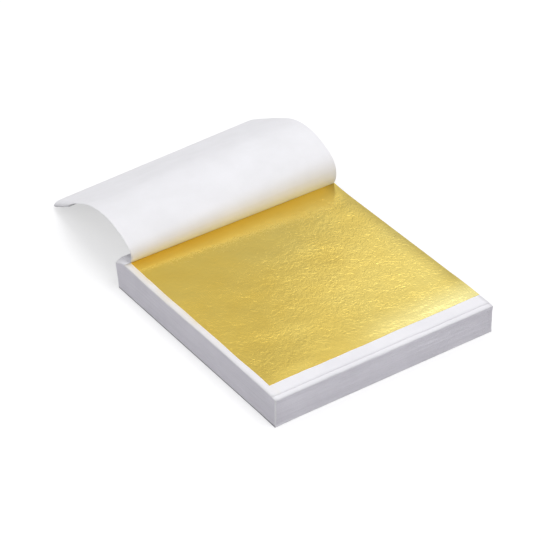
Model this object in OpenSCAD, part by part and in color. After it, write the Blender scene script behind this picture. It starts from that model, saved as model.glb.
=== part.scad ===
// Booklet of loose metal leaf, modelled in millimetres with +Z up.
// A stack of thin bound sheets carries one square of leaf on each sheet.
// The top sheet is turned back over the glued rear margin and shows the first leaf.
// Origin: centre of the sheets' footprint on the underside of the backing card.
// +Y points to the glued rear margin, -X is the side with the bare left margin.

/* [Sheets] */
// thickness of one sheet
sheet_t = 0.072; // [0.05:0.001:0.12]
// number of leaves, with one bound sheet under each of them
leaf_count = 100; // [60:1:120]
// how far the top of the rear face stands behind its foot
lean_d = 1.5; // [0:0.1:3]
// depth of the bound margin behind the crease line
bind_d = 3.5; // [2.5:0.1:8]
// air between neighbouring sheets at the glued rear face
bind_air = 0.006; // [0.002:0.001:0.02]
// air between neighbouring sheets at the front edge
front_air = 0.018; // [0.004:0.001:0.03]
// how far the first sheet under the leaf stops short of the others at the front
page_1_inset = 1.6; // [0:0.1:4]
// gap left in each turning sheet along its crease
crease_gap = 0.1; // [0.05:0.01:0.3]

/* [Leaf] */
// width of one leaf along X
leaf_w = 77.4; // [60:0.1:120]
// depth of one leaf along Y
leaf_d = 74; // [60:0.5:120]
// thickness of one leaf with its creases pressed flat
leaf_t = 0.01; // [0.005:0.001:0.03]
// bare margin of the sheet left of the leaf
leaf_left = 2.4; // [0.5:0.1:10]
// bare margin of the sheet right of the leaf
leaf_right = 0.2; // [0:0.1:10]
// bare margin of the sheet in front of the leaf
leaf_front = 6.3; // [1:0.1:12]
// distance from the crease line to the rear edge of the leaf
leaf_rear_gap = 0.2; // [0.15:0.05:2]
// air above and below each leaf
leaf_air = 0.0075; // [0.002:0.0005:0.02]

/* [Backing] */
// thickness of the backing card
card_t = 0.45; // [0.3:0.05:1.5]
// how far the card stands out past the sheets at the front and sides
card_lip = 0.5; // [0:0.1:2]
// thickness of the glue film on the rear face
glue_t = 0.3; // [0.1:0.05:1]

/* [Turned sheet] */
// how far the turned sheet stops short of the front edge when it is closed
turned_front = 0.5; // [0:0.1:4]
// how far the turned sheet stands in from the left edge of the others
turned_left = 2.4; // [0:0.1:5]
// how far the turned sheet stands in from the right edge of the others
turned_right = 0.2; // [0:0.1:5]
// room under the turned sheet when it is closed over the leaf
page_gap = 0.25; // [0.1:0.05:0.6]
// slope of the turned sheet where it leaves the crease, 180 is closed
rise_angle = 124; // [105:1:135]
// radius of the tight bend above the crease
rise_r = 5.3; // [4.5:0.1:10]
// angle turned by that bend
rise_turn = 98; // [60:1:100]
// number of flat parts that make up that bend
rise_parts = 2; // [2:1:6]
// radius of the wide bend over the top
crown_r = 29; // [24:0.5:40]
// angle turned by the wide bend
crown_turn = 55; // [30:1:56]
// number of flat parts that make up the wide bend
crown_parts = 2; // [2:1:6]
// length of the straight run down to the curled end
fall_d = 25.5; // [15:0.5:28]
// radius of the curl at the free end
curl_r = 1.05; // [0.9:0.05:1.8]
// angle turned by the curl
curl_turn = 182; // [160:1:184]
// number of flat parts that make up the curl
curl_parts = 1; // [1:1:6]
// largest slant of the fold lines, counted from the middle to each side edge
slant_d = 2.6; // [0:0.1:2.8]
// distance from the crease at which the slant is largest
slant_from = 8; // [8:0.5:20]

/* [Hidden] */
// the sheets below the three loose top ones are held in this many bundles
bundles = 12;
loose = 3;
// half the slit between two strips of the turned sheet
fold_play = 0.01;
sheet_w = leaf_left + leaf_w + leaf_right;
sheet_d = leaf_front + leaf_d + leaf_rear_gap + bind_d;
half_w = sheet_w / 2;
front_y = -sheet_d / 2;
back_y = sheet_d / 2;
crease_y = back_y - bind_d;
leaf_x = -half_w + leaf_left;
leaf_y = crease_y - leaf_rear_gap - leaf_d;
turned_x = -half_w + turned_left;
turned_w = sheet_w - turned_left - turned_right;
page_d = crease_y - front_y - turned_front;
pitch_leaf = sheet_t + leaf_t + 2 * leaf_air;
pitch_bound = sheet_t + bind_air;
pitch_front = sheet_t + front_air;
page_z = card_t + leaf_count * pitch_leaf + page_gap;
spine_top = card_t + leaf_count * pitch_bound + sheet_t;
paper = [0.95, 0.95, 0.96];
gold = [0.86, 0.70, 0.28];

// height of the underside of sheet i, counted from the lowest, at a spacing
function height(i, pitch) = card_t + i * pitch;
// place of the slanted rear face at a height
function spine_y(z) = back_y + lean_d * (z - card_t) / (spine_top - card_t);
// spacing of the sheets at a place between the front edge and the crease
function spacing(y) = y >= leaf_y ? pitch_leaf
    : pitch_front + (pitch_leaf - pitch_front) * (y - front_y) / (leaf_y - front_y);
// underside of sheet i along Y, from its front edge up to the crease
function front_line(i, y0, y1) = [
    for (y = [y0, leaf_y, y1]) [y, height(i, spacing(y))]
];
// a line of points and the same line one sheet thickness higher, as one outline
function thick(line, rise = sheet_t) = concat(
    line,
    [for (k = [len(line) - 1 : -1 : 0]) line[k] + [0, rise]]
);

// outline of sheet i drawn in the Y-Z plane, from front edge to rear face
function sheet_outline(i) = concat(
    front_line(i, front_y, crease_y),
    [
        [spine_y(height(i, pitch_bound)), height(i, pitch_bound)],
        [spine_y(height(i, pitch_bound) + sheet_t), height(i, pitch_bound) + sheet_t]
    ],
    [
        for (y = [crease_y, leaf_y, front_y])
            [y, height(i, spacing(y)) + sheet_t]
    ]
);

// draw a Y-Z outline as a solid of width w that starts at x0
module across(points, x0, w) {
    translate([x0, 0, 0])
        rotate([90, 0, 90])
            linear_extrude(w)
                polygon(points);
}

module bound_sheet(i) {
    color(paper) across(sheet_outline(i), -half_w, sheet_w);
}

// the part of turning sheet i in front of its crease
module flap(i, inset = 0) {
    color(paper)
        across(thick(front_line(i, front_y + inset, crease_y - crease_gap)), -half_w, sheet_w);
}

// the bound part of turning sheet i behind its crease
module stub(i, z_crease, x0, w) {
    z_end = height(i, pitch_bound);
    slope = (z_end - z_crease) / (spine_y(z_end) - crease_y);
    color(paper)
        across([
            [crease_y + crease_gap, z_crease + slope * crease_gap],
            [spine_y(z_end), z_end],
            [spine_y(z_end + sheet_t), z_end + sheet_t],
            [crease_y + crease_gap, z_crease + slope * crease_gap + sheet_t]
        ], x0, w);
}

// the leaf that lies on sheet i
module leaf_on(i) {
    color(gold)
        translate([leaf_x, leaf_y, height(i, pitch_leaf) + sheet_t + leaf_air])
            cube([leaf_w, leaf_d, leaf_t]);
}

// lowest sheet of bundle b, with bundle 1 at the bottom
function bundle_start(b) = round((b - 1) * (leaf_count - loose) / bundles);

module sheet_bundle(b) {
    for (i = [bundle_start(b) : bundle_start(b + 1) - 1]) bound_sheet(i);
}

module leaf_bundle(b) {
    for (i = [bundle_start(b) : bundle_start(b + 1) - 1]) leaf_on(i);
}

module backing_card() {
    color([0.88, 0.87, 0.84])
        translate([-half_w - card_lip, front_y - card_lip, 0])
            cube([sheet_w + 2 * card_lip, sheet_d + card_lip + glue_t, card_t]);
}

module spine_glue() {
    color([0.90, 0.90, 0.86])
        across([
            [spine_y(card_t), card_t],
            [spine_y(card_t) + glue_t, card_t],
            [spine_y(spine_top) + glue_t, spine_top],
            [spine_y(spine_top), spine_top]
        ], -half_w, sheet_w);
}

module bound_margins() {
    for (k = [1 : loose])
        stub(leaf_count - k, height(leaf_count - k, pitch_leaf), -half_w, sheet_w);
    stub(leaf_count, page_z, turned_x, turned_w);
}

// length of a bend made of n flat parts whose corners all lie on its arc
function bend_length(r, turn, n) = 2 * n * r * sin(turn / (2 * n));
rise_d = bend_length(rise_r, rise_turn, rise_parts);
crown_d = bend_length(crown_r, crown_turn, crown_parts);
curl_d = bend_length(curl_r, curl_turn, curl_parts);
curl_from = rise_d + crown_d + fall_d;
// folds between the n parts of a bend that starts at a distance from the crease
function inner_folds(start, length, turn, n) = [
    for (k = [1 : 1 : n - 1]) [start + length * k / n, turn / n]
];
// fold at the start or end of a bend: half of what one of its parts turns
rise_half = rise_turn / (2 * rise_parts);
crown_half = crown_turn / (2 * crown_parts);
curl_half = curl_turn / (2 * curl_parts);
// turned sheet: each fold is [distance from the crease, angle], the crease first
folds = concat(
    [[0, 180 - rise_angle + rise_half]],
    inner_folds(0, rise_d, rise_turn, rise_parts),
    [[rise_d, rise_half + crown_half]],
    inner_folds(rise_d, crown_d, crown_turn, crown_parts),
    [[rise_d + crown_d, crown_half], [curl_from, curl_half]],
    inner_folds(curl_from, curl_d, curl_turn, curl_parts),
    [[curl_from + curl_d, curl_half]]
);
strips = len(folds);
// sideways slant of a fold line at a distance from the crease
function slant(s) = slant_d * min(s / slant_from, (page_d - s) / (page_d - slant_from));
// ends of fold line k on the closed, flat sheet
function fold_left(k) = [turned_x, crease_y - folds[k][0] + slant(folds[k][0])];
function fold_right(k) = [turned_x + turned_w, crease_y - folds[k][0] - slant(folds[k][0])];
// far side of strip k: the next fold line or the free edge
function far_left(k) = k < strips - 1 ? fold_left(k + 1) : [turned_x, crease_y - page_d];
function far_right(k) = k < strips - 1 ? fold_right(k + 1)
    : [turned_x + turned_w, crease_y - page_d];

// turn the children about fold line k, which runs along the sheet's upper face
module fold(k) {
    a = fold_left(k);
    b = fold_right(k);
    yaw = atan2(b[1] - a[1], b[0] - a[0]);
    translate([a[0], a[1], page_z + sheet_t])
        rotate([0, 0, yaw])
            rotate([-folds[k][1], 0, 0])
                rotate([0, 0, -yaw])
                    translate([-a[0], -a[1], -page_z - sheet_t])
                        children();
}

// turn the children about every fold line from the crease up to fold line k
module folded(k) {
    if (k < 0) children();
    else folded(k - 1) fold(k) children();
}

// strip k of the turned sheet, between two fold lines
module page_strip(k) {
    near = k == 0 ? crease_gap : fold_play;
    far = k == strips - 1 ? 0 : fold_play;
    color(paper)
        folded(k)
            translate([0, 0, page_z])
                linear_extrude(sheet_t)
                    polygon([
                        fold_left(k) - [0, near],
                        fold_right(k) - [0, near],
                        far_right(k) + [0, far],
                        far_left(k) + [0, far]
                    ]);
}

backing_card();
spine_glue();
bound_margins();
for (b = [1 : bundles]) {
    sheet_bundle(b);
    leaf_bundle(b);
}
for (k = [1 : loose]) {
    flap(leaf_count - k, k == 1 ? page_1_inset : 0);
    leaf_on(leaf_count - k);
}
for (k = [1 : strips])
    page_strip(k - 1);
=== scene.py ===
"""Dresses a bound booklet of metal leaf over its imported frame, with its light and camera."""

import logging
import math
from dataclasses import dataclass, field
from enum import Enum

import bpy
import numpy as np
from mathutils import Matrix, Vector


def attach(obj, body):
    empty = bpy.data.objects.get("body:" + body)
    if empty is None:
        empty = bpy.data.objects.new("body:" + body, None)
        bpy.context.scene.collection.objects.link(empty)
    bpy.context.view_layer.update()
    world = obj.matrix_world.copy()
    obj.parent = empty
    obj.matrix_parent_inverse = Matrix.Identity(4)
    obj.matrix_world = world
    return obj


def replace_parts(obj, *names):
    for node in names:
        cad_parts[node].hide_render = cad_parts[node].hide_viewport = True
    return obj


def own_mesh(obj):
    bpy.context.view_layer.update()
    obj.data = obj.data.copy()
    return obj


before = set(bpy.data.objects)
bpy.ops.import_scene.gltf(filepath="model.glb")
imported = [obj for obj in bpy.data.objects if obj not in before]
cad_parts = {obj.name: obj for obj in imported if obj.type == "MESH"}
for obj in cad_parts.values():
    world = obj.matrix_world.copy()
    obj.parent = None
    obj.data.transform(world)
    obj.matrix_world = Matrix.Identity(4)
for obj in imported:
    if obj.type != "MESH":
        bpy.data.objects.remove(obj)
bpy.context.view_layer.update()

MM = 0.001
# how many times the UV square goes into a metre of the flat material
FLAT_SCALE = 10.0
LOG = logging.getLogger("booklet")


class Slot(Enum):
    """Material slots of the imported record."""

    TISSUE = "tissue"
    LEAF = "leaf"
    CARD = "card"
    GLUE = "glue"


class Ray(Enum):
    """Kinds of ray that see how the surroundings look, and not the light they give."""

    CAMERA = "Is Camera Ray"
    GLOSSY = "Is Glossy Ray"
    TRANSMISSION = "Is Transmission Ray"


# Shapes


def ripple(
    x: np.ndarray, y: np.ndarray, shortest: float, longest: float, seed: int, waves: int = 28
) -> np.ndarray:
    """Smooth random height of about unit spread.

    The sum of plane waves, sine of two pi times the distance along a random heading over the
    wave's length, each with a random phase.

    Args:
        x: First coordinate of each point.
        y: Second coordinate of each point.
        shortest: Shortest wave.
        longest: Longest wave.
        seed: Seed of the headings, lengths and phases.
        waves: Number of waves.

    Returns:
        The heights, in the broadcast shape of x and y.
    """
    rng = np.random.default_rng(seed)
    lengths = np.exp(rng.uniform(math.log(shortest), math.log(longest), waves))
    headings, phases = rng.uniform(0, 2 * math.pi, (2, waves))
    total = np.zeros(np.broadcast(x, y).shape)
    for length, heading, phase in zip(lengths, headings, phases):
        along = x * math.cos(heading) + y * math.sin(heading)
        total += np.sin(2 * math.pi * along / length + phase)
    return total / math.sqrt(waves / 2)


def ease(value: np.ndarray, start: float, end: float) -> np.ndarray:
    """Zero before start, one after end and a smooth S-curve, 3t² - 2t³, between them."""
    t = np.clip((np.asarray(value, float) - start) / (end - start), 0, 1)
    return t * t * (3 - 2 * t)


def smooth_line(at: np.ndarray, places: tuple, heights: tuple) -> np.ndarray:
    """Height of a smooth line through given points.

    Between two points it is the cubic with the mean slope of the neighbouring stretches at
    each point.

    Args:
        at: Where the line is read.
        places: Places of the points, rising.
        heights: Heights of the points.

    Returns:
        The heights at those places.
    """
    px, pz = np.array(places, float), np.array(heights, float)
    slope = np.gradient(pz, px)
    at = np.clip(at, px[0], px[-1])
    k = np.clip(np.searchsorted(px, at, side="right") - 1, 0, len(px) - 2)
    width = px[k + 1] - px[k]
    t = (at - px[k]) / width
    return (
        pz[k] * (2 * t**3 - 3 * t**2 + 1)
        + width * slope[k] * (t**3 - 2 * t**2 + t)
        + pz[k + 1] * (3 * t**2 - 2 * t**3)
        + width * slope[k + 1] * (t**3 - t**2)
    )


def guarded(count: int, guard: float = 0.004) -> np.ndarray:
    """Steps from 0 to 1 with one extra step close to each end, which keeps the edge's shading true."""
    inner = np.linspace(0, 1, count)
    return np.concatenate([[0, guard], inner[1:-1], [1 - guard, 1]])


def edged(near: tuple, count: int) -> np.ndarray:
    """Steps from 0 to 1: the given ones near both ends, and even ones from the last of them on."""
    outer = np.array([0, *near[:-1]])
    return np.concatenate([outer, np.linspace(near[-1], 1 - near[-1], count), 1 - outer[::-1]])


@dataclass
class Skin:
    """A closed skin of four-sided faces.

    Attributes:
        points: Corners, one row each.
        quads: Four corner numbers for each face.
        smooth: Whether each face is shaded smooth.
        flat: Place of each corner on the flat material, used as the UV map.
    """

    points: np.ndarray
    quads: np.ndarray
    smooth: np.ndarray
    flat: np.ndarray

    @staticmethod
    def between(upper: np.ndarray, lower: np.ndarray, flat: np.ndarray) -> "Skin":
        """Closes two grids of points into one thin body.

        The faces run over both grids, and flat walls join their four edges.

        Args:
            upper: Grid of points, rows by columns by three.
            lower: Grid of the same size on the other side.
            flat: Place on the flat material, rows by columns by two.

        Returns:
            The closed skin, facing outwards.
        """
        rows, columns = upper.shape[:2]
        a = np.arange(rows * columns).reshape(rows, columns)
        b = a + rows * columns

        def faces(*corners: np.ndarray) -> np.ndarray:
            """Face rows from four equal arrays of corner numbers."""
            return np.stack([c.ravel() for c in corners], axis=1)

        skins = [
            faces(a[:-1, :-1], a[1:, :-1], a[1:, 1:], a[:-1, 1:]),
            faces(b[:-1, :-1], b[:-1, 1:], b[1:, 1:], b[1:, :-1]),
        ]
        walls = [
            faces(a[1:, 0], a[:-1, 0], b[:-1, 0], b[1:, 0]),
            faces(a[-1, 1:], a[-1, :-1], b[-1, :-1], b[-1, 1:]),
            faces(a[:-1, -1], a[1:, -1], b[1:, -1], b[:-1, -1]),
            faces(a[0, :-1], a[0, 1:], b[0, 1:], b[0, :-1]),
        ]
        quads = np.concatenate(skins + walls)
        smooth = np.arange(len(quads)) < len(skins[0]) + len(skins[1])
        points = np.concatenate([upper.reshape(-1, 3), lower.reshape(-1, 3)])
        skin = Skin(points, quads, smooth, np.concatenate([flat.reshape(-1, 2)] * 2))
        return skin.outward()

    @staticmethod
    def plate(x: np.ndarray, y: np.ndarray, z: np.ndarray, thickness: float) -> "Skin":
        """A plate that is equally thick upwards everywhere, with its underside at x, y and z."""
        lower = np.stack([x, y, z], axis=2)
        return Skin.between(lower + np.array([0, 0, thickness]), lower, lower[..., :2])

    def outward(self) -> "Skin":
        """Turns every face round if the enclosed volume comes out negative.

        Returns:
            The same skin.
        """
        p = self.points - self.points.mean(0)
        c = [p[self.quads[:, k]] for k in range(4)]
        volume = np.einsum("ij,ij->i", c[0], np.cross(c[1], c[2]) + np.cross(c[2], c[3])).sum()
        if volume < 0:
            self.quads = self.quads[:, ::-1].copy()
        return self

    @staticmethod
    def joined(skins: list) -> "Skin":
        """All the skins as one, with their corners numbered on.

        Args:
            skins: The skins to join.

        Returns:
            The joined skin.
        """
        starts = np.cumsum([0] + [len(s.points) for s in skins[:-1]])
        return Skin(
            np.concatenate([s.points for s in skins]),
            np.concatenate([s.quads + n for s, n in zip(skins, starts)]),
            np.concatenate([s.smooth for s in skins]),
            np.concatenate([s.flat for s in skins]),
        )

    def piece(self, name: str, material: bpy.types.Material, slot: Slot) -> bpy.types.Object:
        """Makes the Blender object of this skin.

        Args:
            name: Name of the piece.
            material: Its finish.
            slot: The record's slot that the finish belongs to; not used.

        Returns:
            The object, at the origin, with its place in its mesh.
        """
        mesh = bpy.data.meshes.new(name)
        mesh.vertices.add(len(self.points))
        mesh.vertices.foreach_set("co", self.points.astype(np.float32).ravel())
        mesh.loops.add(self.quads.size)
        mesh.loops.foreach_set("vertex_index", self.quads.astype(np.int32).ravel())
        mesh.polygons.add(len(self.quads))
        mesh.polygons.foreach_set("loop_start", np.arange(0, self.quads.size, 4, dtype=np.int32))
        mesh.polygons.foreach_set("use_smooth", self.smooth)
        mesh.update(calc_edges=True)
        uv = mesh.uv_layers.new(name="flat")
        places = self.flat[self.quads.ravel()] * FLAT_SCALE
        uv.data.foreach_set("uv", places.astype(np.float32).ravel())
        mesh.materials.append(material)
        obj = bpy.data.objects.new(name, mesh)
        bpy.context.scene.collection.objects.link(obj)
        LOG.info("%s: %d points, %d faces", name, len(self.points), len(self.quads))
        return obj


# Finishes


class Shader:
    """A node tree that is filled one node at a time."""

    def __init__(self, tree: bpy.types.NodeTree) -> None:
        """Starts on an existing tree."""
        self.tree = tree

    def node(self, kind: str, **values: object) -> bpy.types.Node:
        """Adds a node, and sets its properties and inputs.

        Args:
            kind: Blender's name of the node type.
            values: Property names, or input names with spaces written as underscores. A
                socket is linked, and anything else is set.

        Returns:
            The new node.
        """
        made = self.tree.nodes.new(kind)
        for key, value in values.items():
            name = key.replace("_", " ")
            if hasattr(made, key) and name not in made.inputs:
                setattr(made, key, value)
            else:
                self.put(made, name, value)
        return made

    def put(self, node: bpy.types.Node, name: object, value: object) -> None:
        """Links a socket to an input, or sets the input to a plain value.

        Args:
            node: The node that has the input.
            name: Name or number of the input.
            value: A socket, a number, a vector, or a colour with or without its fourth part.
        """
        target = node.inputs[name]
        if isinstance(value, bpy.types.NodeSocket):
            self.tree.links.new(value, target)
        else:
            short_colour = target.type == "RGBA" and len(value) == 3
            target.default_value = (*value, 1.0) if short_colour else value

    def math(self, operation: str, *terms: object) -> bpy.types.NodeSocket:
        """Adds a Math node.

        Args:
            operation: Blender's name of the operation.
            terms: Its sockets or numbers.

        Returns:
            The result.
        """
        made = self.node("ShaderNodeMath", operation=operation)
        for k, term in enumerate(terms):
            self.put(made, k, term)
        return made.outputs[0]

    def times(self, first: object, *more: object) -> bpy.types.NodeSocket:
        """The product of sockets or numbers.

        Args:
            first: First factor.
            more: The other factors.

        Returns:
            The result.
        """
        for term in more:
            first = self.math("MULTIPLY", first, term)
        return first

    def between(
        self,
        value: bpy.types.NodeSocket,
        start: float,
        end: float,
        low: float = 0.0,
        high: float = 1.0,
        step: str = "SMOOTHSTEP",
    ) -> bpy.types.NodeSocket:
        """Goes from low at start to high at end.

        Args:
            value: What is read.
            start: Where the change starts.
            end: Where it ends.
            low: Result at start and before it.
            high: Result at end and after it.
            step: Blender's name of the way between them.

        Returns:
            The result.
        """
        made = self.node(
            "ShaderNodeMapRange", Value=value, interpolation_type=step, From_Min=start,
            From_Max=end, To_Min=low, To_Max=high,
        )
        return made.outputs[0]

    def noise(
        self, place: bpy.types.NodeSocket, scale: object, detail: float, **more: float
    ) -> bpy.types.NodeSocket:
        """A Noise Texture at that place, as a number about one half."""
        made = self.node("ShaderNodeTexNoise", Vector=place, Scale=scale, Detail=detail, **more)
        return made.outputs[0]

    def axes(self, place: bpy.types.NodeSocket) -> list:
        """The three coordinates of a place."""
        return list(self.node("ShaderNodeSeparateXYZ", Vector=place).outputs)

    def ramp(self, fac: bpy.types.NodeSocket, *stops: tuple) -> bpy.types.NodeSocket:
        """Adds a colour ramp.

        Args:
            fac: What it reads.
            stops: Its stops in order, each a place and a colour.

        Returns:
            The colour.
        """
        made = self.node("ShaderNodeValToRGB", Fac=fac)
        elements = made.color_ramp.elements
        while len(elements) < len(stops):
            elements.new(0.5)
        for element, (place, colour) in zip(elements, stops):
            element.position = place
            element.color = (*colour, 1.0)
        return made.outputs[0]

    def mix(
        self, fac: object, first: object, second: object, blend: str = "MIX"
    ) -> bpy.types.NodeSocket:
        """Adds a mix of two colours.

        Args:
            fac: Share of the second colour.
            first: First socket or colour.
            second: Second socket or colour.
            blend: Blender's name of the way to mix them.

        Returns:
            The colour.
        """
        made = self.node("ShaderNodeMix", data_type="RGBA", blend_type=blend)
        for k, term in ((0, fac), (6, first), (7, second)):
            self.put(made, k, term)
        return made.outputs[2]


class Effects:
    """Shader groups that several finishes share, each built once."""

    made: dict = {}

    @classmethod
    def group(cls, name: str, inputs: dict, outputs: dict) -> tuple:
        """Starts a group with named sockets.

        Args:
            name: Name of the group.
            inputs: Input names with their default values.
            outputs: Output names with their socket types.

        Returns:
            The shader wrapper, its input node and its output node.
        """
        tree = bpy.data.node_groups.new(name, "ShaderNodeTree")
        for key, value in inputs.items():
            kind = "NodeSocketVector" if key == "Place" else "NodeSocketFloat"
            socket = tree.interface.new_socket(key, in_out="INPUT", socket_type=kind)
            if kind == "NodeSocketFloat":
                socket.default_value = value
        for key, kind in outputs.items():
            tree.interface.new_socket(key, in_out="OUTPUT", socket_type=kind)
        shader = Shader(tree)
        cls.made[name] = tree
        return shader, shader.node("NodeGroupInput"), shader.node("NodeGroupOutput")

    @classmethod
    def fibre(cls) -> bpy.types.NodeTree:
        """Soft clouding and fine fibres of thin paper: a tone and a height.

        Returns:
            The shader group.
        """
        if "fibre" in cls.made:
            return cls.made["fibre"]
        s, given, out = cls.group(
            "fibre",
            {"Place": None, "Cloud Scale": 90.0, "Fibre Scale": 2600.0},
            {"Tone": "NodeSocketFloat", "Height": "NodeSocketFloat"},
        )
        place = given.outputs["Place"]
        cloud = s.noise(place, given.outputs["Cloud Scale"], 4.0, Roughness=0.6)
        fine = s.noise(place, given.outputs["Fibre Scale"], 3.0, Roughness=0.7, Distortion=1.2)
        tone = s.math("ADD", s.times(cloud, 0.7), s.times(fine, 0.3))
        s.put(out, "Tone", tone)
        s.put(out, "Height", fine)
        return s.tree

    @classmethod
    def crinkle(cls) -> bpy.types.NodeTree:
        """Creases of beaten foil, as a height and a tone.

        Each of three sizes is the distance of a noise from its mean, turned over, which is sharp
        along broken ridges. The place is shifted a little by another noise before it is read.

        Returns:
            The shader group.
        """
        if "crinkle" in cls.made:
            return cls.made["crinkle"]
        s, given, out = cls.group(
            "crinkle",
            {"Place": None, "Scale": 260.0},
            {"Height": "NodeSocketFloat", "Tone": "NodeSocketFloat"},
        )
        place = given.outputs["Place"]
        warp = s.node("ShaderNodeTexNoise", Vector=place, Scale=180.0, Detail=3.0)
        offset = s.node("ShaderNodeVectorMath", operation="MULTIPLY_ADD")
        for k, term in enumerate((warp.outputs["Color"], (4 * MM,) * 3, place)):
            s.put(offset, k, term)
        heights = []
        for factor, share in ((1.0, 0.38), (2.3, 0.40), (5.1, 0.18)):
            scale = s.times(given.outputs["Scale"], factor)
            noise = s.noise(offset.outputs[0], scale, 2.0, Roughness=0.55, Distortion=0.6)
            fold = s.math("ABSOLUTE", s.math("SUBTRACT", noise, 0.5))
            heights.append(s.times(fold, -2.0 * share))
        s.put(out, "Height", s.math("ADD", s.math("ADD", heights[0], heights[1]), heights[2]))
        s.put(out, "Tone", s.noise(place, 45.0, 5.0, Roughness=0.6))
        return s.tree


class Coat:
    """A material while it is being made: its shader, its surface and its place on the piece."""

    def __init__(self, name: str, group: bpy.types.NodeTree) -> None:
        """Starts the material, with one shared effect that reads the place.

        Args:
            name: Name of the material.
            group: The shared effect.
        """
        self.made = bpy.data.materials.new(name)
        self.made.use_nodes = True
        self.shader = Shader(self.made.node_tree)
        self.face = self.made.node_tree.nodes["Principled BSDF"]
        self.place = self.shader.node("ShaderNodeTexCoord").outputs["Object"]
        effect = self.shader.node("ShaderNodeGroup", node_tree=group)
        self.shader.put(effect, "Place", self.place)
        self.tone, self.height = effect.outputs["Tone"], effect.outputs["Height"]

    def finish(
        self, strength: float, depth: float, height: object, **surface: object
    ) -> bpy.types.Material:
        """Sets the surface's values and its relief.

        Args:
            strength: Strength of the relief.
            depth: Depth of the relief, in metres.
            height: What the relief reads.
            surface: Inputs of the Principled BSDF, with spaces written as underscores.

        Returns:
            The finished material.
        """
        for key, value in surface.items():
            self.shader.put(self.face, key.replace("_", " "), value)
        bump = self.shader.node("ShaderNodeBump", Strength=strength, Distance=depth, Height=height)
        self.shader.put(self.face, "Normal", bump.outputs[0])
        return self.made


def grey(level: float) -> tuple:
    """A colour of three equal parts."""
    return (level, level, level)


@dataclass(frozen=True)
class PaperFinish:
    """Thin uncoated paper.

    Attributes:
        name: Name of the material.
        light: Colour of its paler clouds.
        dark: Colour of its darker clouds.
        roughness: Roughness of its face.
        relief: Depth of its fibres, in metres.
        edge_lines: How dark the fine lines between stacked edges are, 0 for none.
        corner: Strength of the painted highlight along the front corner on the left, where light
            catches the sheets' edges, 0 for none.
        dust: How much metal dust tints the bare margin on its left, 0 for none.
        dust_tint: Colour of that dust.
        corner_from: Sum of the corner's distances from the middle, across and forwards.
        corner_highlight_span: How far in from there the painted highlight starts and ends.
        margin_x: Where the dust starts and is full across the margin.
        margin_end: Right end of the margin.
        margin_y: Where the dust starts and is full from front to rear.
    """

    name: str
    light: tuple = (0.90, 0.89, 0.915)
    dark: tuple = (0.85, 0.84, 0.87)
    roughness: float = 0.62
    relief: float = 0.012 * MM
    edge_lines: float = 0.0
    corner: float = 0.0
    dust: float = 0.0
    dust_tint: tuple = (0.80, 0.68, 0.42)
    corner_from: float = 82.0 * MM
    corner_highlight_span: tuple = (0.1 * MM, 0.6 * MM)
    margin_x: tuple = (-39.6 * MM, -37.2 * MM)
    margin_end: float = -36.6 * MM
    margin_y: tuple = (-25.0 * MM, 12.0 * MM)

    def lined(self, coat: Coat, colour: bpy.types.NodeSocket) -> bpy.types.NodeSocket:
        """Adds fine level lines, as of stacked edges.

        Args:
            coat: The material while it is being made.
            colour: Its colour so far.

        Returns:
            The colour.
        """
        s = coat.shader
        stretched = s.node("ShaderNodeMapping", Vector=coat.place, Scale=(22.0, 22.0, 5200.0))
        lines = s.noise(stretched.outputs[0], 1.0, 3.0, Roughness=0.65)
        shade = s.ramp(lines, (0.35, grey(1 - self.edge_lines)), (0.6, grey(1.0)))
        return s.mix(1.0, colour, shade, "MULTIPLY")

    def worn(self, coat: Coat, colour: bpy.types.NodeSocket) -> bpy.types.NodeSocket:
        """Adds a painted highlight, white along the front corner on the left, where light catches the
        sheets' edges.

        Args:
            coat: The material while it is being made.
            colour: Its colour so far.

        Returns:
            The colour.
        """
        s = coat.shader
        x, y, _ = s.axes(coat.place)
        inwards = s.math("ADD", s.math("ADD", x, y), self.corner_from)
        # painted highlight: white along the front left corner, where light catches the sheets' edges
        corner_highlight = s.between(inwards, *self.corner_highlight_span, self.corner, 0.0)
        return s.mix(corner_highlight, colour, grey(1.0))

    def dusted(self, coat: Coat, colour: bpy.types.NodeSocket) -> bpy.types.NodeSocket:
        """Adds patches of metal dust on the bare margin, more of them at the rear.

        Args:
            coat: The material while it is being made.
            colour: Its colour so far.

        Returns:
            The colour.
        """
        s = coat.shader
        x, y, _ = s.axes(coat.place)
        across = s.between(x, *self.margin_x, 0.25, step="LINEAR")
        patch = s.ramp(s.noise(coat.place, 110.0, 3.0), (0.35, grey(0.3)), (0.62, grey(1.0)))
        behind = s.between(y, *self.margin_y, 0.08)
        bare = s.math("LESS_THAN", x, self.margin_end)
        return s.mix(s.times(patch, across, behind, bare, self.dust), colour, self.dust_tint)

    def material(self) -> bpy.types.Material:
        """Builds the material: clouded colour, fibre relief and, where asked, lines, a painted corner
        highlight and dust.

        Returns:
            The material.
        """
        coat = Coat(self.name, Effects.fibre())
        colour = coat.shader.ramp(coat.tone, (0.38, self.dark), (0.62, self.light))
        for wanted, dress in (
            (self.edge_lines, self.lined), (self.corner, self.worn), (self.dust, self.dusted)
        ):
            colour = dress(coat, colour) if wanted else colour
        return coat.finish(
            0.35, self.relief, coat.height, Base_Color=colour, Roughness=self.roughness,
            Specular_IOR_Level=0.3,
        )


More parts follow.
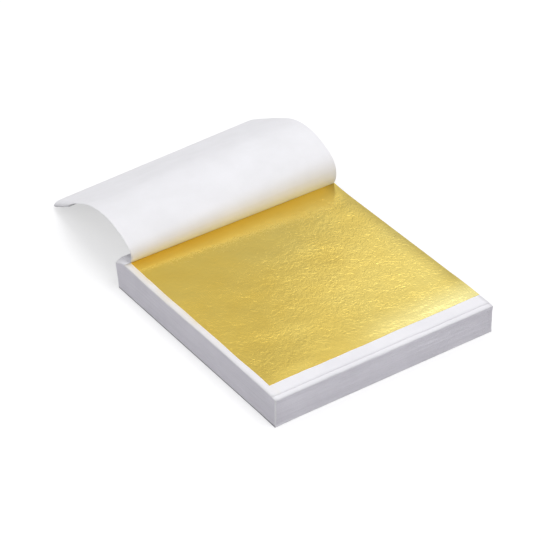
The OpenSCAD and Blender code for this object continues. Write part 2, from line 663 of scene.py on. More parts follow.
@dataclass(frozen=True)
class BoardFinish:
    """Plain grey board, with painted shade on its left edge, standing in for a contact shadow.

    Attributes:
        name: Name of the material.
        light: Colour of its paler clouds.
        dark: Colour of its darker clouds.
        left_shade: Colour of the painted shade on the left edge.
        left_shade_x: Where the painted shade ends across the board.
    """

    name: str
    light: tuple = (0.84, 0.825, 0.86)
    dark: tuple = (0.76, 0.745, 0.78)
    left_shade: tuple = (0.42, 0.41, 0.43)
    left_shade_x: float = -40.02 * MM

    def material(self) -> bpy.types.Material:
        """Builds the material: clouded pulp with specks, a soft relief and painted shade on the left
        edge.

        Returns:
            The material.
        """
        coat = Coat(self.name, Effects.fibre())
        s = coat.shader
        colour = s.ramp(coat.tone, (0.36, self.dark), (0.64, self.light))
        specks = s.ramp(s.noise(coat.place, 1900.0, 1.0), (0.27, grey(0.72)), (0.34, grey(1.0)))
        colour = s.mix(1.0, colour, specks, "MULTIPLY")
        x, _, _ = s.axes(coat.place)
        # painted shade: the board's left edge is darkened, as a contact shadow
        colour = s.mix(s.math("LESS_THAN", x, self.left_shade_x), colour, self.left_shade)
        return coat.finish(
            0.4, 0.03 * MM, coat.height, Base_Color=colour, Roughness=0.75,
            Specular_IOR_Level=0.25,
        )


@dataclass(frozen=True)
class LeafFinish:
    """Beaten metal leaf, whose colour and creases change over the booklet, with painted light and shade
    in its colour.

    Each stretch is given by where the change starts and where it is full.

    Attributes:
        name: Name of the material.
        bright: Colour of its paler clouds and of the painted light at the front right.
        deep: Colour of its duller clouds and of the painted shade at the rear left.
        pale: Colour of the painted highlight on the smooth corner at the front right.
        roughness: Least roughness.
        spread: How much rougher the duller clouds are.
        crease: Depth of the fine creases, in metres.
        front_y: Stretch of the smoother front.
        crease_y: Stretch of the smooth, sharply mirroring band beside the sheet's crease.
        front_highlight_x: Stretch of that painted highlight, across.
        front_left_shade_x: Where the painted shade on the front left part starts to fade and has gone.
        front_left_shade_y: Stretch of that painted shade, forwards.
        right_shade_x: Stretch of the painted shade on the right edge, where the leaf curls down.
        growth_x: Stretch over which the fine creases grow from the left to the right.
        growth: Strength of the fine creases at its two ends.
    """

    name: str
    bright: tuple = (0.915, 0.757, 0.228)
    deep: tuple = (0.94, 0.655, 0.11)
    pale: tuple = (0.97, 0.87, 0.37)
    roughness: float = 0.12
    spread: float = 0.07
    crease: float = 0.16 * MM
    front_y: tuple = (-24.0 * MM, -36.0 * MM)
    crease_y: tuple = (10.0 * MM, 26.0 * MM)
    front_highlight_x: tuple = (-12.0 * MM, 30.0 * MM)
    front_left_shade_x: tuple = (0.0, 32.0 * MM)
    front_left_shade_y: tuple = (-6.0 * MM, -34.0 * MM)
    right_shade_x: tuple = (34.0 * MM, 40.5 * MM)
    growth_x: tuple = (-35.0 * MM, 30.0 * MM)
    growth: tuple = (0.66, 1.45)

    def material(self) -> bpy.types.Material:
        """Builds the material: clouded metal with painted light and shade, and creases of several
        sizes.

        Returns:
            The material.
        """
        coat = Coat(self.name, Effects.crinkle())
        s = coat.shader
        x, y, _ = s.axes(coat.place)
        front = s.between(y, *self.front_y)
        near = s.between(y, *self.crease_y)
        # painted light and shade: with its clouds, the colour runs from deep at the rear left to bright
        # at the front right
        slope = s.math("MULTIPLY_ADD", y, -5.0, s.math("MULTIPLY_ADD", x, 7.0, 0.5))
        tone = s.math("MULTIPLY_ADD", coat.tone, 0.6, s.times(slope, 0.5))
        colour = s.ramp(tone, (0.25, self.deep), (0.95, self.bright))
        # painted shade: darker over the front left part and along the right edge, where the leaf curls
        # down
        left = s.math("SUBTRACT", 1.0, s.between(x, *self.front_left_shade_x))
        front_left_shade = s.times(s.between(y, *self.front_left_shade_y), left)
        edge = s.times(s.between(x, *self.right_shade_x), s.math("SUBTRACT", 1.0, front))
        painted_shade = s.math("MULTIPLY_ADD", edge, 0.25, s.times(front_left_shade, 0.15))
        colour = s.mix(painted_shade, colour, grey(0.0))
        # painted highlight: a pale corner at the front right
        front_highlight = s.times(front, s.between(x, *self.front_highlight_x))
        colour = s.mix(front_highlight, colour, self.pale)
        rough = s.math("MULTIPLY_ADD", coat.tone, self.spread, self.roughness)
        rough = s.times(rough, s.math("MULTIPLY_ADD", near, -0.6, 1.0))
        # the fine creases are weaker on the left, at the front and beside the sheet's crease
        flatter = s.math("ADD", front, s.times(near, 0.6))
        strength = s.math("MULTIPLY_ADD", flatter, -0.5, 1.0)
        strength = s.times(s.between(x, *self.growth_x, *self.growth), strength)
        return coat.finish(
            0.63, self.crease, s.times(coat.height, strength), Base_Color=colour,
            Roughness=rough, Metallic=1.0,
        )


# The bound stack


@dataclass
class Stack:
    """The glued stack of sheets, its backing card and the margins behind the crease.

    All sizes are in metres, apart from the points of the top line. Those that the part has as
    well keep its names. A pair is where a change starts and where it is full.
    """

    sheet_t: float = 0.072 * MM
    leaf_count: int = 100
    bundles: int = 12
    loose: int = 3
    half_w: float = 40.0 * MM
    front_y: float = -42.0 * MM
    back_y: float = 42.0 * MM
    crease_y: float = 38.5 * MM
    crease_gap: float = 0.1 * MM
    lean_d: float = 1.5 * MM
    card_t: float = 0.45 * MM
    glue_t: float = 0.3 * MM
    inset: float = 1.6 * MM
    pitch_rear: float = 0.0925 * MM
    leaf_t: float = 0.006 * MM
    # the hidden leaves: left and right, front and rear, and the air under each
    leaf_x: tuple = (-37.6 * MM, 39.8 * MM)
    leaf_y: tuple = (-35.7 * MM, 38.2 * MM)
    leaf_gap: float = 0.010 * MM
    # the top of the stack from its front edge to the glued face, in millimetres
    line_y: tuple = (
        -42.0, -41.2, -39.8, -36.0, -28.0, -10.0, 8.0, 24.0, 33.5, 37.0, 38.8, 40.8, 43.9
    )
    line_z: tuple = (
        9.70, 9.88, 9.98, 10.06, 10.13, 10.16, 10.11, 10.10, 10.14, 10.26, 10.40, 10.12, 9.72
    )
    # the top's swell, its roll-off at the right, and the lifts of the bare left edge, each with
    # its height, its middle and its reach along the edge
    swell: float = 0.010 * MM
    roll_off: float = 0.16 * MM
    roll_x: tuple = (34 * MM, 41.5 * MM)
    roll_y: tuple = (30 * MM, 38 * MM)
    lifts: tuple = ((0.30 * MM, 33.5 * MM, 5 * MM), (0.16 * MM, -10 * MM, 16 * MM))
    lift_x: tuple = (37.8 * MM, 40.2 * MM)
    # the sagged left corner of the glued edge
    corner_sag: float = 1.15 * MM
    corner_x: tuple = (38.1 * MM, 40.3 * MM)
    corner_y: tuple = (39.5 * MM, 43.4 * MM)
    # the trimming: spread at the sides and in front, the front's slow lean from sheet to sheet
    # and its waver, and the bow of the right side
    side_trim: float = 0.035 * MM
    front_trim: float = 0.03 * MM
    front_lean: float = 0.05 * MM
    front_waver: float = 0.03 * MM
    bow: float = 0.16 * MM
    # the loose sheets: waver in front, gap at the crease, and what the top one lacks at the right
    page_waver: float = 0.05 * MM
    page_gap: float = 0.03 * MM
    top_short: float = 0.08 * MM
    # the card's lip at its front left corner, and how far its edges are worn
    lip: float = 0.14 * MM
    card_wear: float = 0.06 * MM

    def height(self, i: float, x: np.ndarray, y: np.ndarray) -> np.ndarray:
        """Underside of sheet i, counted from the lowest.

        The card's thickness plus the sheet's share of the top line, and the square of that share
        of a swell, a roll-off at the right edge, lifts of the bare left edge and a sagged corner.

        Args:
            i: Number of the sheet, 0 at the card.
            x: Places across.
            y: Places from front to rear.

        Returns:
            The heights.
        """
        share = i / self.leaf_count
        top = smooth_line(y / MM, self.line_y, self.line_z) * MM
        swell = self.swell * ripple(x, y, 18 * MM, 60 * MM, 5)
        roll = -self.roll_off * ease(x, *self.roll_x) ** 1.4 * (1 - 0.8 * ease(y, *self.roll_y))
        edge = ease(-x, *self.lift_x)
        left = sum(h * edge * np.exp(-(((y - at) / reach) ** 2)) for h, at, reach in self.lifts)
        worn = self.corner(x) * ease(y, *self.corner_y)
        return self.card_t + share * (top - self.card_t) + share**2 * (swell + roll + left + worn)

    def corner(self, x: np.ndarray) -> np.ndarray:
        """How far the glued edge has sagged at its left corner."""
        return -self.corner_sag * ease(-x, *self.corner_x)

    def rear_height(self, i: float, x: np.ndarray) -> np.ndarray:
        """Underside of sheet i at the glued face: even spacing, less the sagged corner."""
        return self.card_t + i * self.pitch_rear + (i / self.leaf_count) ** 2 * self.corner(x)

    def rear(self, z: float) -> float:
        """Place of the slanted glued face at a height."""
        top = self.card_t + self.leaf_count * self.pitch_rear + self.sheet_t
        return self.back_y + self.lean_d * (z - self.card_t) / (top - self.card_t)

    def sheet(self, i: int, rng: np.random.Generator, rows: int = 30, columns: int = 12) -> Skin:
        """Sheet i of the bound bundles, trimmed a hair unevenly.

        Args:
            i: Number of the sheet.
            rng: Source of the trimming.
            rows: Points from front to rear.
            columns: Points across.

        Returns:
            Its skin.
        """
        share = i / self.leaf_count
        bow = self.bow * math.sin(math.pi * share)
        left = -self.half_w + rng.normal(0, self.side_trim)
        right = self.half_w - bow + rng.normal(0, self.side_trim)
        lean = self.front_lean * math.sin(9 * share + 1)
        front = self.front_y + rng.normal(0, self.front_trim) + lean
        rear = self.rear(self.card_t + i * self.pitch_rear)
        v = np.linspace(0, 1, rows)[:, None]
        # more points near the front and the rear, where the top line bends
        v = v - 0.11 * np.sin(2 * math.pi * v)
        w = np.linspace(0, 1, columns)[None, :]
        x = left + (right - left) * w + 0 * v
        edge = self.front_waver * ripple(x, x * 0, 8 * MM, 40 * MM, 100 + i, 5)
        y = front + edge + (rear - front - edge) * v
        z = self.height(i, x, y)
        # at the glued face the sheets lie at their bound spacing
        z = z + (self.rear_height(i, x) - z) * ease(y, rear - 0.8 * MM, rear)
        return Skin.plate(x, y, z, self.sheet_t)

    def leaf(self, i: int, rows: int = 9, columns: int = 7) -> Skin:
        """The leaf that lies hidden on sheet i, as a thin plate that follows the sheet.

        Args:
            i: Number of the sheet.
            rows: Points from front to rear.
            columns: Points across.

        Returns:
            Its skin.
        """
        x, y = np.meshgrid(np.linspace(*self.leaf_x, columns), np.linspace(*self.leaf_y, rows))
        return Skin.plate(x, y, self.height(i, x, y) + self.sheet_t + self.leaf_gap, self.leaf_t)

    def first_of(self, bundle: int) -> int:
        """Lowest sheet of a bundle, with bundle 1 at the bottom."""
        return int((bundle - 1) * (self.leaf_count - self.loose) / self.bundles + 0.5)

    def build(self, paper: bpy.types.Material, gold: bpy.types.Material) -> None:
        """Makes the bundles of sheets and of leaves, and lets them ride on the booklet.

        Args:
            paper: Finish of the sheets.
            gold: Finish of the leaves.
        """
        rng = np.random.default_rng(11)
        # only the uppermost sheet and leaf of all are ever seen from above, and get more points
        top = self.leaf_count - self.loose - 1
        for b in range(1, self.bundles + 1):
            numbers = range(self.first_of(b), self.first_of(b + 1))
            sheets = [self.sheet(i, rng, *((70, 60) if i == top else (30, 12))) for i in numbers]
            obj = Skin.joined(sheets).piece(f"sheet_bundle_{b}", paper, Slot.TISSUE)
            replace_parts(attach(obj, "booklet"), f"sheets_{b}")
            leaves = [self.leaf(i, *((60, 60) if i == top else (9, 7))) for i in numbers]
            obj = Skin.joined(leaves).piece(f"leaf_bundle_{b}", gold, Slot.LEAF)
            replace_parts(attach(obj, "booklet"), f"leaves_{b}")

    def card(self, board: bpy.types.Material) -> None:
        """The backing card: a thin board trimmed flush, with worn edges and a lip at one corner.

        The lip falls off from the front left corner like a bell curve.

        Args:
            board: Its finish.
        """
        t = edged((0.0015, 0.004, 0.012), 30)
        w, v = t[None, :], t[:, None]
        lip = self.lip * np.exp(-((w / 0.06) ** 2) - (v / 0.06) ** 2)
        left, right = -self.half_w - 0.06 * MM - lip, self.half_w + 0.03 * MM
        front, rear = self.front_y - 0.04 * MM - lip, self.back_y - 0.02 * MM
        x = left + (right - left) * w
        y = front + (rear - front) * v
        across, along = (1 - ease(np.minimum(side, 1 - side), 0, 0.004) for side in (w, v))
        worn = np.minimum(across + along, 1)
        lower = np.stack([x, y, self.card_wear / 3 * worn], axis=2)
        upper = np.stack([x, y, self.card_t - 0.012 * MM - self.card_wear * worn], axis=2)
        obj = Skin.between(upper, lower, lower[..., :2]).piece("backing_board", board, Slot.CARD)
        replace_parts(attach(obj, "booklet"), "backing_card")

    def glue(self, dried: bpy.types.Material) -> None:
        """The dried glue on the rear face: a brushed skin of uneven thickness, thin at its edges.

        Its thickness is a brushed pattern times a rim, which rises from the edges like a quarter
        of a circle.

        Args:
            dried: Its finish.
        """
        w, v = edged((0.004, 0.012, 0.03), 60)[None, :], np.linspace(0, 1, 22)[:, None]
        x = (2 * w - 1) * (self.half_w - 0.1 * MM) + 0 * v
        z = 0.05 * MM + (self.rear_height(self.leaf_count, x) - 0.02 * MM) * v
        rim = np.minimum(np.minimum(w, 1 - w) / 0.02, np.minimum(v, 1 - v) / 0.08)
        rim = np.sqrt(np.clip(rim * (2 - np.clip(rim, 0, 1)), 0, 1))
        # long brush strokes across and soft lumps
        brushed = 0.72 + 0.18 * ripple(x * 0.25, z, 1.2 * MM, 9 * MM, 501)
        brushed = brushed + 0.1 * ripple(x, z, 5 * MM, 20 * MM, 502)
        thick = self.glue_t * np.clip(brushed, 0.25, 1.0) * (0.12 + 0.88 * rim)
        inner = np.stack([x, self.rear(z) + 0.005 * MM, z], axis=2)
        outer = inner + np.stack([0 * x, thick, 0 * x], axis=2)
        obj = Skin.between(outer, inner, np.stack([x, z], axis=2)).piece("dried_glue", dried, Slot.GLUE)
        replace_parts(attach(obj, "booklet"), "spine_glue")

    def margins(self, paper: bpy.types.Material) -> None:
        """The bound strips of the loose sheets and of the turned one, behind the crease.

        Args:
            paper: Their finish.
        """
        skins = []
        for i in range(self.leaf_count - self.loose, self.leaf_count + 1):
            turned = i == self.leaf_count
            sides = self.leaf_x if turned else (-self.half_w, self.half_w)
            y0, y1 = self.crease_y + self.crease_gap, self.rear(self.card_t + i * self.pitch_rear)
            x, y = np.meshgrid(np.linspace(*sides, 40), np.linspace(y0, y1, 10))
            z = self.height(i, x, y)
            if turned:
                # it is lifted a little where the sheet turns back
                z = z + 0.05 * MM * (1 - ease(y, y0, y0 + 2 * MM))
            z = z + (self.rear_height(i, x) - z) * ease(y, y1 - 1.2 * MM, y1)
            skins.append(Skin.plate(x, y, z, self.sheet_t))
        obj = Skin.joined(skins).piece("bound_strips", paper, Slot.TISSUE)
        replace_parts(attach(obj, "booklet"), "bound_margins")

    def page(self, k: int, paper: bpy.types.Material) -> None:
        """Loose sheet k in front of its crease, with sheet 1 on top.

        Args:
            k: Number of the sheet.
            paper: Its finish.
        """
        i = self.leaf_count - k
        front = self.front_y + (self.inset if k == 1 else 0)
        w = np.linspace(0, 1, 60)[None, :]
        v = np.linspace(0, 1, 70)[:, None]
        right = self.half_w - (self.top_short if k == 1 else 0)
        x = -self.half_w + (self.half_w + right) * w + 0 * v
        edge = self.page_waver * ripple(x, x * 0, 10 * MM, 50 * MM, 300 + k, 6)
        y = front + edge + (self.crease_y - self.page_gap - front - edge) * v
        skin = Skin.plate(x, y, self.height(i, x, y), self.sheet_t)
        obj = skin.piece(f"loose_sheet_{k}", paper, Slot.TISSUE)
        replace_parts(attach(obj, f"page_{k}"), f"page_{k}")


@dataclass
class LooseLeaves:
    """The leaves on the three loose sheets, the top one in full view.

    All sizes are in metres. A pair is where a change starts and where it is full.

    Attributes:
        stack: The sheets that they lie on.
        left: Their left edge.
        right: Their right edge.
        front: Their front edge.
        rear: Their rear edge.
        gap: Air under each.
        side_waver: How far the left edge wavers.
        front_waver: How far the front edge wavers.
        swell: Height of the soft swells.
        crumple: Height of the short crumples.
        fold: Height of the low rise behind the front edge.
        fold_up: Where the rise goes up, behind the front edge.
        fold_down: Where it comes down.
        fold_x: Where it starts and is full, across.
        most: Height that the whole relief nears but never reaches.
    """

    stack: Stack
    left: float = -37.6 * MM
    right: float = 40.0 * MM
    front: float = -35.7 * MM
    rear: float = 38.48 * MM
    gap: float = 0.008 * MM
    side_waver: float = 0.10 * MM
    front_waver: float = 0.06 * MM
    swell: float = 0.022 * MM
    crumple: float = 0.008 * MM
    fold: float = 0.22 * MM
    fold_up: tuple = (-1.0 * MM, 6.5 * MM)
    fold_down: tuple = (6 * MM, 17 * MM)
    fold_x: tuple = (-14 * MM, 32 * MM)
    most: float = 0.15 * MM

    def skin(self, k: int, columns: int, rows: int, relief: float) -> Skin:
        """Leaf on loose sheet k.

        Its height is the sheet's upper face, plus a clearance, plus relief times soft swells,
        short crumples and a low rise behind the front edge. Its outline wavers a little.

        Args:
            k: Number of the sheet, 1 on top.
            columns: Points across.
            rows: Points from front to rear.
            relief: Share of the full relief.

        Returns:
            The skin.
        """
        w = guarded(columns, 0.0004)[None, :]
        v = guarded(rows, 0.0004)[:, None]
        y_line = self.front + (self.rear - self.front) * v
        x_line = self.left + (self.right - self.left) * w
        waver = self.side_waver * ripple(y_line, 0, 14 * MM, 70 * MM, 41 + k, 7)
        left = self.left + waver * ease(y_line, self.front, self.front + 5 * MM)
        x = left + (self.right - left) * w
        front = self.front + self.front_waver * ripple(0, x_line, 4 * MM, 40 * MM, 61 + k, 9)
        y = front + (self.rear - front) * v
        behind = y - front
        soft = ripple(x, y, 9 * MM, 30 * MM, 21 + k, 30)
        short = ripple(x, y, 1.6 * MM, 5 * MM, 31 + k, 44)
        pressed = ease(v, 0, 0.07) * ease(1 - v, 0, 0.02) * ease(w, 0, 0.07) * ease(1 - w, 0, 0.02)
        lift = relief * pressed * (self.swell * (soft + 1.6) + self.crumple * np.abs(short))
        raised = ease(behind, *self.fold_up) * (1 - ease(behind, *self.fold_down))
        raised = raised * ease(x, *self.fold_x)
        puckers = ripple(x * 0.22, y, 1.4 * MM, 5 * MM, 51 + k) * (1 - ease(behind, 3 * MM, 7 * MM))
        lift = lift + relief * self.fold * raised * (1 + 0.16 * puckers)
        lift = self.most * np.tanh(np.maximum(lift, 0) / self.most)
        under = self.stack.height(self.stack.leaf_count - k, x, y) + self.stack.sheet_t
        return Skin.plate(x, y, under + self.gap + lift, self.stack.leaf_t)

    def build(self, gold: bpy.types.Material) -> None:
        """Makes the three leaves and lets each ride on its body.

        Args:
            gold: Their finish.
        """
        for k, columns, rows, relief in ((1, 205, 192, 1.0), (2, 60, 60, 0.0), (3, 60, 60, 0.0)):
            obj = self.skin(k, columns, rows, relief).piece(f"gold_leaf_{k}", gold, Slot.LEAF)
            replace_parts(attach(obj, "leaf_1" if k == 1 else f"page_{k}"), f"leaf_{k}")


# The turned sheet


@dataclass
class TurnedSheet:
    """The top sheet, turned back over the glued margin and curled under at its free edge.

    Lengths are in metres and angles in degrees. Those that the part has as well keep its names.
    A pair is where a change starts and where it is full.
    """

    left: float = -37.6 * MM
    width: float = 77.4 * MM
    page_d: float = 80.0 * MM
    crease_y: float = 38.5 * MM
    page_z: float = 10.4 * MM
    sheet_t: float = 0.072 * MM
    rise_angle: float = 124.0
    rise_r: float = 5.3 * MM
    rise_turn: float = 98.0
    rise_parts: int = 2
    crown_r: float = 29.0 * MM
    crown_turn: float = 55.0
    crown_parts: int = 2
    fall_d: float = 25.5 * MM
    curl_r: float = 1.05 * MM
    curl_turn: float = 182.0
    curl_parts: int = 1
    slant_d: float = 2.6 * MM
    slant_from: float = 8.0 * MM
    # how much of its bends a strip keeps when all lies flat
    keep: float = 0.08
    columns: int = 64
    curl_rows: int = 26
    row_d: float = 0.7 * MM
    bag: float = 0.10 * MM
    # the closed left and right ends of the roll: length and share
    ends: tuple = ((2.4 * MM, 1.0), (3.0 * MM, 0.30))
    # where across the roll they close, and how far the layers above and below come to meet
    meet: float = 0.6
    above: float = 0.65
    below: float = 0.42
    # how far the layer above reaches there, as a share of the roll's bulge
    reach: float = 1.3
    reach_d: float = 4 * MM
    # the closed layers rise to the sheet, and the free edge leans on it
    rise_d: tuple = (8 * MM, 19 * MM)
    lean_d: tuple = (7 * MM, 16 * MM)
    lean: float = 0.9
    folds: list = field(default_factory=list)
    turns: list = field(default_factory=list)

    def __post_init__(self) -> None:
        """Lists the folds, as distance and angle, and how much each strip itself turns."""

        def part(r: float, turn: float, n: int) -> float:
            """Length of each of the n flat parts of a bend."""
            return 2 * r * math.sin(math.radians(turn / (2 * n)))

        place, before = 0.0, 180 - self.rise_angle
        bends = (
            (self.rise_r, self.rise_turn, self.rise_parts, 0.0),
            (self.crown_r, self.crown_turn, self.crown_parts, self.fall_d),
            (self.curl_r, self.curl_turn, self.curl_parts, 0.0),
        )
        for r, turn, n, run in bends:
            for _ in range(n):
                self.folds.append((place, before + turn / (2 * n)))
                self.turns.append(turn / n)
                place += part(r, turn, n)
                before = turn / (2 * n)
            if run:
                self.folds.append((place, before))
                self.turns.append(0.0)
                place, before = place + run, 0.0
        self.folds.append((place, before))
        self.turns.append(0.0)

    def fold_line(self, s: float) -> tuple:
        """A fold line on the closed, flat sheet.

        Its slant grows from the crease on and then fades towards the free edge, in straight lines.

        Args:
            s: Its distance from the crease.

        Returns:
            Its left and right ends.
        """
        growing, fading = s / self.slant_from, (self.page_d - s) / (self.page_d - self.slant_from)
        slant = self.slant_d * min(growing, fading)
        z = self.page_z + self.sheet_t
        return (
            np.array([self.left, self.crease_y - s + slant, z]),
            np.array([self.left + self.width, self.crease_y - s - slant, z]),
        )

    def places(self) -> list:
        """Where each strip goes from flat to turned, one fold after another.

        Returns:
            A 4 by 4 matrix for each strip.
        """
        so_far, found = Matrix.Identity(4), []
        for s, angle in self.folds:
            a, b = (Vector(p) for p in self.fold_line(s))
            turn = Matrix.Rotation(-math.radians(angle), 4, b - a)
            so_far = so_far @ Matrix.Translation(a) @ turn @ Matrix.Translation(-a)
            found.append(so_far.copy())
        return found

    def pinch(self, w: np.ndarray) -> np.ndarray:
        """How far the roll at the free edge is shut across the sheet.

        One at the left edge and a part of that at the right one, each falling to none inside
        along a quarter of an ellipse, one minus the root of one minus t².

        Args:
            w: Steps across the sheet.

        Returns:
            The share by which it is shut.
        """
        total = 0.0
        for inside, (length, share) in zip((w * self.width, (1 - w) * self.width), self.ends):
            t = np.clip(1 - inside / length, 0, 1)
            total = total + share * (1 - np.sqrt(1 - t * t))
        return total

    def wave(self, s: np.ndarray, x: np.ndarray) -> np.ndarray:
        """Slight bagginess of the sheet: long ripples that die out at the crease and in the curl."""
        calm = ease(s, 8 * MM, 22 * MM) * (1 - ease(s, 56 * MM, 62 * MM))
        return self.bag * calm * ripple(x, s, 18 * MM, 60 * MM, 77, 12)

    def arc(self, turn: float, chord: np.ndarray, v: np.ndarray) -> tuple:
        """Smooth arc over a chord.

        A point goes along the chord by half of it times one plus the sine of its angle over the
        sine of half the turn, and stands off by the difference of the cosines. The angle runs
        from minus to plus half of the turn, so that the arc meets its neighbours without a crease.

        Args:
            turn: How much the arc turns, in radians.
            chord: Length of the chord, across the sheet.
            v: Steps along the arc.

        Returns:
            The angle, the way along the chord and the distance off it.
        """
        if turn == 0:
            return 0 * v * chord, chord * v, 0 * v * chord
        angle = (2 * v - 1) * turn / 2 + 0 * chord
        along = chord * (0.5 + np.sin(angle) / (2 * math.sin(turn / 2)))
        sag = chord * (np.cos(angle) - math.cos(turn / 2)) / (2 * math.sin(turn / 2))
        return angle, along, sag

    def closed(
        self, k: int, v: np.ndarray, w: np.ndarray, chord: np.ndarray, path: tuple
    ) -> tuple:
        """Brings the roll and the layers beside it together at the roll's ends.

        There the roll shrinks onto a line near where it stands out most. The layer above bends
        down and the one below up until they meet, and both reach out to that line, which leaves
        no hole when all lies flat. The free edge leans on the layer above it.

        Args:
            k: Number of the strip.
            v: Steps along the strip.
            w: Steps across it.
            chord: Length of its chord, across the sheet.
            path: The way along the chord and the distance off it, with the ends still open.

        Returns:
            The way along the chord and the distance off it.
        """
        along, sag = path
        half = math.radians(self.curl_turn / 2)
        bulge = self.curl_r * (1 - math.cos(half))
        shut = self.pinch(w)
        roll = len(self.folds) - 2
        if k == roll:
            return along + (self.meet * chord - along) * shut, sag + (bulge - sag) * shut
        if k not in (roll - 1, roll + 1):
            return along, sag
        away = (1 - v) * self.fall_d if k < roll else v * (self.page_d - self.folds[k][0])
        apart = 2 * self.curl_r * math.sin(half)
        apart = apart - away * math.sin(math.radians(self.curl_turn - 180))
        risen = ease(away, *self.rise_d)
        reach = bulge * shut * (1 - ease(away, 0, self.reach_d))
        if k < roll:
            share = self.above * shut * (1 - risen)
            reach = self.reach * reach
        else:
            share = self.below * shut * (1 - risen) + shut * risen
            share = np.maximum(share, self.lean * ease(away, *self.lean_d))
            reach = -reach
        return along + reach, sag - apart * share * (1 - 0.03 * v)

    def strip(self, k: int, place: Matrix) -> Skin:
        """Strip k between two fold lines, as a smooth arc with a hair of bagginess.

        Args:
            k: Number of the strip, 0 at the crease.
            place: Where it goes from flat to turned.

        Returns:
            Its skin.
        """
        s0 = self.folds[k][0]
        s1 = self.folds[k + 1][0] if k + 1 < len(self.folds) else self.page_d
        turn = math.radians(self.turns[k])
        rows = self.curl_rows if turn > 2 else max(5, int((s1 - s0) / self.row_d))
        v = guarded(rows)[:, None]
        # more points near the sheet's sides, where the roll is closed
        w = (0.5 - 0.5 * np.cos(np.linspace(0, math.pi, self.columns)))[None, :]
        (a0, b0), (a1, b1) = self.fold_line(s0), self.fold_line(s1)
        near = a0 + (b0 - a0) * w[..., None]
        far = a1 + (b1 - a1) * w[..., None]
        chord = np.linalg.norm(far - near, axis=2)
        ahead = (far - near) / chord[..., None]
        angle, along, sag = self.arc(turn, chord, v)
        along, sag = self.closed(k, v, w, chord, (along, sag))
        up = np.array([0, 0, 1.0])
        normal = up * np.cos(angle)[..., None] - ahead * np.sin(angle)[..., None]
        upper = near + ahead * along[..., None] - up * sag[..., None]
        s = s0 + (s1 - s0) * v + 0 * w
        x = self.left + self.width * w + 0 * v
        upper = upper + normal * self.wave(s, x)[..., None]
        lower = upper - normal * self.sheet_t
        turned = np.array(place)
        upper, lower = (g @ turned[:3, :3].T + turned[:3, 3] for g in (upper, lower))
        return Skin.between(upper, lower, np.stack([x, s], axis=2))

    def build(self, paper: bpy.types.Material) -> None:
        """Makes each strip and rides it on its body.

        Args:
            paper: Their finish.
        """
        for k, place in enumerate(self.places()):
            obj = self.strip(k, place).piece(f"turned_sheet_{k + 1}", paper, Slot.TISSUE)
            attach(obj, f"turned_strip_{k + 1}")
            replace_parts(obj, f"turned_strip_{k + 1}")
            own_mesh(obj)


# Studio


def towards(azimuth: float, elevation: float) -> Vector:
    """Unit vector from the booklet to a place seen at that turn and height, in degrees."""
    a, e = math.radians(azimuth), math.radians(elevation)
    return Vector((math.sin(a) * math.cos(e), -math.cos(a) * math.cos(e), math.sin(e)))


def aimed(obj: bpy.types.Object, out: Vector, place: Vector) -> bpy.types.Object:
    """Links a camera or a lamp, puts it in its place and turns it to the booklet.

    Args:
        obj: The camera or lamp.
        out: Direction from the booklet to it.
        place: Its place.

    Returns:
        The same object.
    """
    bpy.context.scene.collection.objects.link(obj)
    obj.location = place
    obj.rotation_mode = "QUATERNION"
    obj.rotation_quaternion = (-out).to_track_quat("-Z", "Y")
    return obj


@dataclass(frozen=True)
class Lamp:
    """One soft square lamp that looks at the booklet.

    Attributes:
        name: Name of the lamp.
        azimuth: Its turn round the object, as the camera's.
        elevation: Its height above the horizon, in degrees.
        away: Its distance, in metres.
        size: Its side, in metres.
        power: Its power in watts.
    """

    name: str
    azimuth: float
    elevation: float
    away: float
    size: float
    power: float

    def build(self) -> None:
        """Adds the lamp to the scene."""
        data = bpy.data.lights.new(self.name, "AREA")
        data.shape, data.size, data.energy = "SQUARE", self.size, self.power
        out = towards(self.azimuth, self.elevation)
        aimed(bpy.data.objects.new(self.name, data), out, out * self.away)


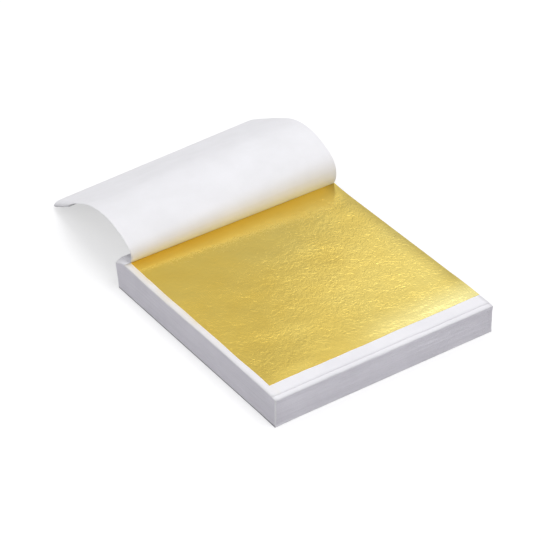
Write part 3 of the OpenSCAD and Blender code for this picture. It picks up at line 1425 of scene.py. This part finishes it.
@dataclass
class Studio:
    """Floor, soft light and camera.

    Attributes:
        azimuth: Camera's turn round the object, in degrees, 0 looking along +Y.
        elevation: Camera's height above the horizon, in degrees.
        distance: Camera's distance from its target, in metres.
        focal_px: Focal length in pixels of the picture.
        picture: Width of the picture in pixels.
        sensor: Width of the camera's sensor, in millimetres.
        target: Point in the middle of the picture.
        floor_half: Half the floor's side, in metres.
        floor_shade: Colour of the floor.
        floor_far: Where the floor's own light starts to grow and is full, from the middle.
        lamps: The soft lamps.
    """

    azimuth: float = -35.09
    elevation: float = 35.43
    distance: float = 0.782
    focal_px: float = 2500.0
    picture: int = 541
    sensor: float = 36.0
    target: tuple = (0.0036, 0.0224, 0.0)
    floor_half: float = 4.0
    floor_shade: float = 0.52
    floor_far: tuple = (0.3, 1.4)
    lamps: tuple = (
        Lamp("key", 20.0, 66.0, 1.1, 0.6, 4.8),
        Lamp("fill", -92.0, 25.0, 1.3, 0.8, 1.9),
        Lamp("rear_fill", -150.0, 28.0, 1.3, 0.6, 1.5),
        Lamp("back", 145.0, 63.0, 1.2, 0.7, 2.0),
        Lamp("front", -8.0, 12.0, 1.3, 0.5, 0.85),
        Lamp("sheen", 120.0, 38.0, 0.37, 0.24, 0.046),
    )

    def camera(self) -> None:
        """Places the camera at the photograph's viewing angle."""
        data = bpy.data.cameras.new("camera")
        data.sensor_width = self.sensor
        data.lens = self.focal_px / self.picture * self.sensor
        data.clip_start, data.clip_end = 0.01, 20.0
        back = towards(self.azimuth, self.elevation)
        place = Vector(self.target) + back * self.distance
        bpy.context.scene.camera = aimed(bpy.data.objects.new("camera", data), back, place)

    def seen(self, s: Shader) -> bpy.types.NodeSocket:
        """Tells the rays that see how the surroundings look from the others.

        Args:
            s: The node tree that asks.

        Returns:
            One for those rays, zero for the others.
        """
        path = s.node("ShaderNodeLightPath")
        total = path.outputs[Ray.CAMERA.value]
        for ray in (Ray.GLOSSY, Ray.TRANSMISSION):
            total = s.math("MAXIMUM", total, path.outputs[ray.value])
        return total

    def world(self) -> None:
        """Dim light from all round, seen by the camera as white and in metal as a soft glow."""
        made = bpy.data.worlds.new("surroundings")
        made.use_nodes = True
        s = Shader(made.node_tree)
        up = s.axes(s.node("ShaderNodeTexCoord").outputs["Generated"])[2]
        light = s.ramp(up, (0.0, (0.15, 0.15, 0.165)), (1.0, (0.58, 0.58, 0.60)))
        levels = ((0.0, 0.40), (0.3, 0.47), (0.58, 0.63), (0.85, 0.84))
        glow = s.ramp(up, *((height, grey(level)) for height, level in levels))
        path = s.node("ShaderNodeLightPath")
        pale = s.mix(path.outputs[Ray.CAMERA.value], glow, grey(1.0))
        back = made.node_tree.nodes["Background"]
        s.put(back, "Color", s.mix(self.seen(s), light, pale))
        back.inputs["Strength"].default_value = 1.0
        bpy.context.scene.world = made

    def floor(self) -> None:
        """A plain pale floor that keeps the object's shadow."""
        r = self.floor_half
        mesh = bpy.data.meshes.new("floor")
        mesh.from_pydata([(-r, -r, 0), (r, -r, 0), (r, r, 0), (-r, r, 0)], [], [(0, 1, 2, 3)])
        made = bpy.data.materials.new("floor_white")
        made.use_nodes = True
        s = Shader(made.node_tree)
        face = made.node_tree.nodes["Principled BSDF"]
        face.inputs["Base Color"].default_value = (*grey(self.floor_shade), 1)
        face.inputs["Roughness"].default_value = 0.9
        face.inputs["Specular IOR Level"].default_value = 0.0
        face.inputs["Emission Color"].default_value = (1, 1, 1, 1)
        # far off, where the lamps fall short, the floor makes up for them
        place = s.node("ShaderNodeTexCoord").outputs["Object"]
        away = s.node("ShaderNodeVectorMath", operation="LENGTH", Vector=place).outputs["Value"]
        glow = s.between(away, *self.floor_far, 0.56, 0.92)
        s.put(face, "Emission Strength", s.times(self.seen(s), glow))
        mesh.materials.append(made)
        obj = bpy.data.objects.new("floor", mesh)
        bpy.context.scene.collection.objects.link(obj)

    def build(self) -> None:
        """Sets the view transform and makes camera, floor, surroundings and lamps."""
        bpy.context.scene.view_settings.view_transform = "Standard"
        self.camera()
        self.floor()
        self.world()
        for lamp in self.lamps:
            lamp.build()


def main() -> None:
    """Builds the studio and every piece in order."""
    logging.basicConfig(level=logging.INFO)
    Studio().build()
    paper = PaperFinish("thin_paper").material()
    lifted = PaperFinish("lifted_paper", light=(0.90, 0.895, 0.915), dark=(0.86, 0.855, 0.87))
    dusted = PaperFinish("dusted_paper", dust=1.0).material()
    # the stacked paper gets a painted highlight on its front left corner
    edges = PaperFinish(
        "stacked_paper", light=(0.91, 0.89, 0.945), dark=(0.86, 0.84, 0.895), edge_lines=0.08,
        corner=0.6,
    )
    glue = PaperFinish(
        "dried_glue", light=(0.86, 0.85, 0.83), dark=(0.78, 0.77, 0.75), roughness=0.4,
        relief=0.05 * MM,
    )
    gold = LeafFinish("gold_leaf").material()
    stack = Stack()
    stack.build(edges.material(), gold)
    stack.margins(paper)
    for k in (1, 2, 3):
        stack.page(k, dusted if k == 1 else paper)
    LooseLeaves(stack).build(gold)
    TurnedSheet().build(lifted.material())
    stack.card(BoardFinish("backing_card").material())
    stack.glue(glue.material())


if __name__ == "__main__":
    main()
